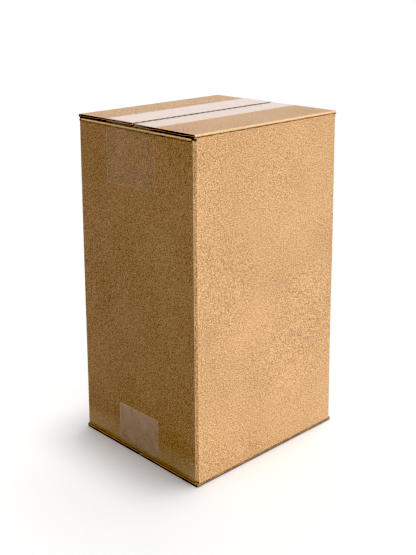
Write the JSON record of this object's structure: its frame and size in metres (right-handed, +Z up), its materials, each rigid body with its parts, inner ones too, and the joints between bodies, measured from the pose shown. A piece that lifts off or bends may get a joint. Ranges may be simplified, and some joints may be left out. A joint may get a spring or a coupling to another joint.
{
  "type": "closed cardboard box",
  "caption": "Tall rectangular corrugated shipping carton with crossed flaps, closed and sealed by clear tape along the top and bottom seams.",
  "frame": {"origin": "middle of the base, on the surface that the carton stands on", "axes": "+Z up, X along the taped seams, Y across them"},
  "size_m": [0.1662, 0.144, 0.2851],
  "materials": {
    "board": "matt brown kraft liner",
    "glue": "dried white glue film",
    "clear_tape": "clear glossy film"
  },
  "bodies": {
    "root": {"carton": "board", "glue_seam": "glue", "top_tape": "clear_tape", "bottom_tape": "clear_tape"}
  },
  "joints": []
}
